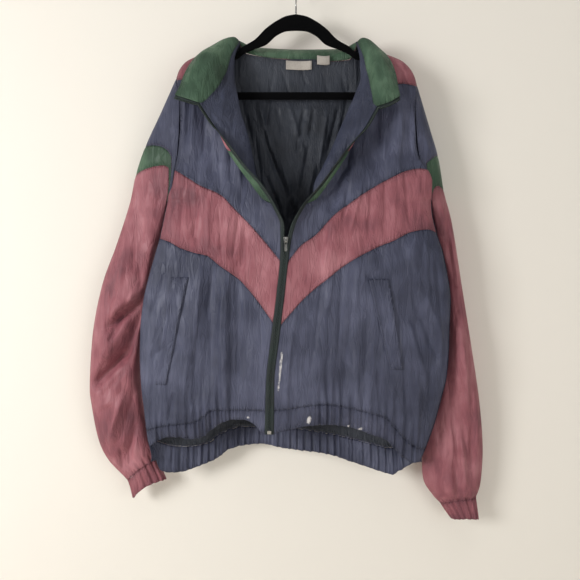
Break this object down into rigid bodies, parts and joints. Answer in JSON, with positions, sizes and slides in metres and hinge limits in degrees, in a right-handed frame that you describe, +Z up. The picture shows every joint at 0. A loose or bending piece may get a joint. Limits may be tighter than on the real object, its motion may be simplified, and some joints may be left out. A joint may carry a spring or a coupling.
{
  "type": "zip-front windbreaker jacket on a clothes hanger",
  "caption": "Colour-blocked zip-front windbreaker with open collar, gathered hem and cuffs, hung half open on a flat clothes hanger; the zip's pull tab swings.",
  "frame": {"origin": "inside of the crown of the hanger's hook, where it hangs on a rod or wall hook", "axes": "+Z up; the jacket's front faces -Y; +X is the viewer's right when looking at the front"},
  "size_m": [0.7521, 0.1354, 1.0364],
  "materials": {
    "navy_nylon": "crinkled thin nylon, soft sheen",
    "burgundy_nylon": "crinkled thin nylon, soft sheen",
    "green_nylon": "crinkled thin nylon, soft sheen",
    "lining": "thin woven lining",
    "zip_tape": "woven tape with moulded coil",
    "label_cloth": "woven ribbon",
    "zip_metal": "polished",
    "hanger_velvet": "black flocking on a hard plastic core",
    "hook_wire": "polished wire"
  },
  "bodies": {
    "jacket": {"front_yoke_left": "burgundy_nylon", "front_stripe_left": "green_nylon", "front_upper_left": "navy_nylon", "front_band_left": "burgundy_nylon", "front_lower_left": "navy_nylon", "hem_band_left": "navy_nylon", "sleeve_upper_left": "navy_nylon", "sleeve_stripe_left": "green_nylon", "sleeve_lower_left": "burgundy_nylon", "cuff_left": "burgundy_nylon", "facing_left": "navy_nylon", "zip_tape_left": "zip_tape", "zip_top_stop_left": "zip_metal", "pocket_welt_left": "navy_nylon", "front_yoke_right": "burgundy_nylon", "front_stripe_right": "green_nylon", "front_upper_right": "navy_nylon", "front_band_right": "burgundy_nylon", "front_lower_right": "navy_nylon", "hem_band_right": "navy_nylon", "sleeve_upper_right": "navy_nylon", "sleeve_stripe_right": "green_nylon", "sleeve_lower_right": "burgundy_nylon", "cuff_right": "burgundy_nylon", "facing_right": "navy_nylon", "zip_tape_right": "zip_tape", "zip_top_stop_right": "zip_metal", "pocket_welt_right": "navy_nylon", "back_yoke": "burgundy_nylon", "back_panel": "navy_nylon", "hem_band_back": "navy_nylon", "lining_back": "lining", "collar": "green_nylon", "zip_chain": "zip_tape", "zip_bottom_stop": "zip_metal", "zip_slider": "zip_metal", "label_main": "label_cloth", "label_care": "label_cloth", "hanger_arms": "hanger_velvet", "hanger_bar": "hanger_velvet", "hanger_hook": "hook_wire"},
    "pull_tab": {"zip_pull_tab": "zip_metal"}
  },
  "joints": [
    {"name": "pull_tab_swing", "type": "hinge", "parent": "jacket", "child": "pull_tab", "pos_m": [-0.01869, -0.0701, -0.5066], "axis": [-1, 0, 0], "range_deg": [0, 150]}
  ]
}
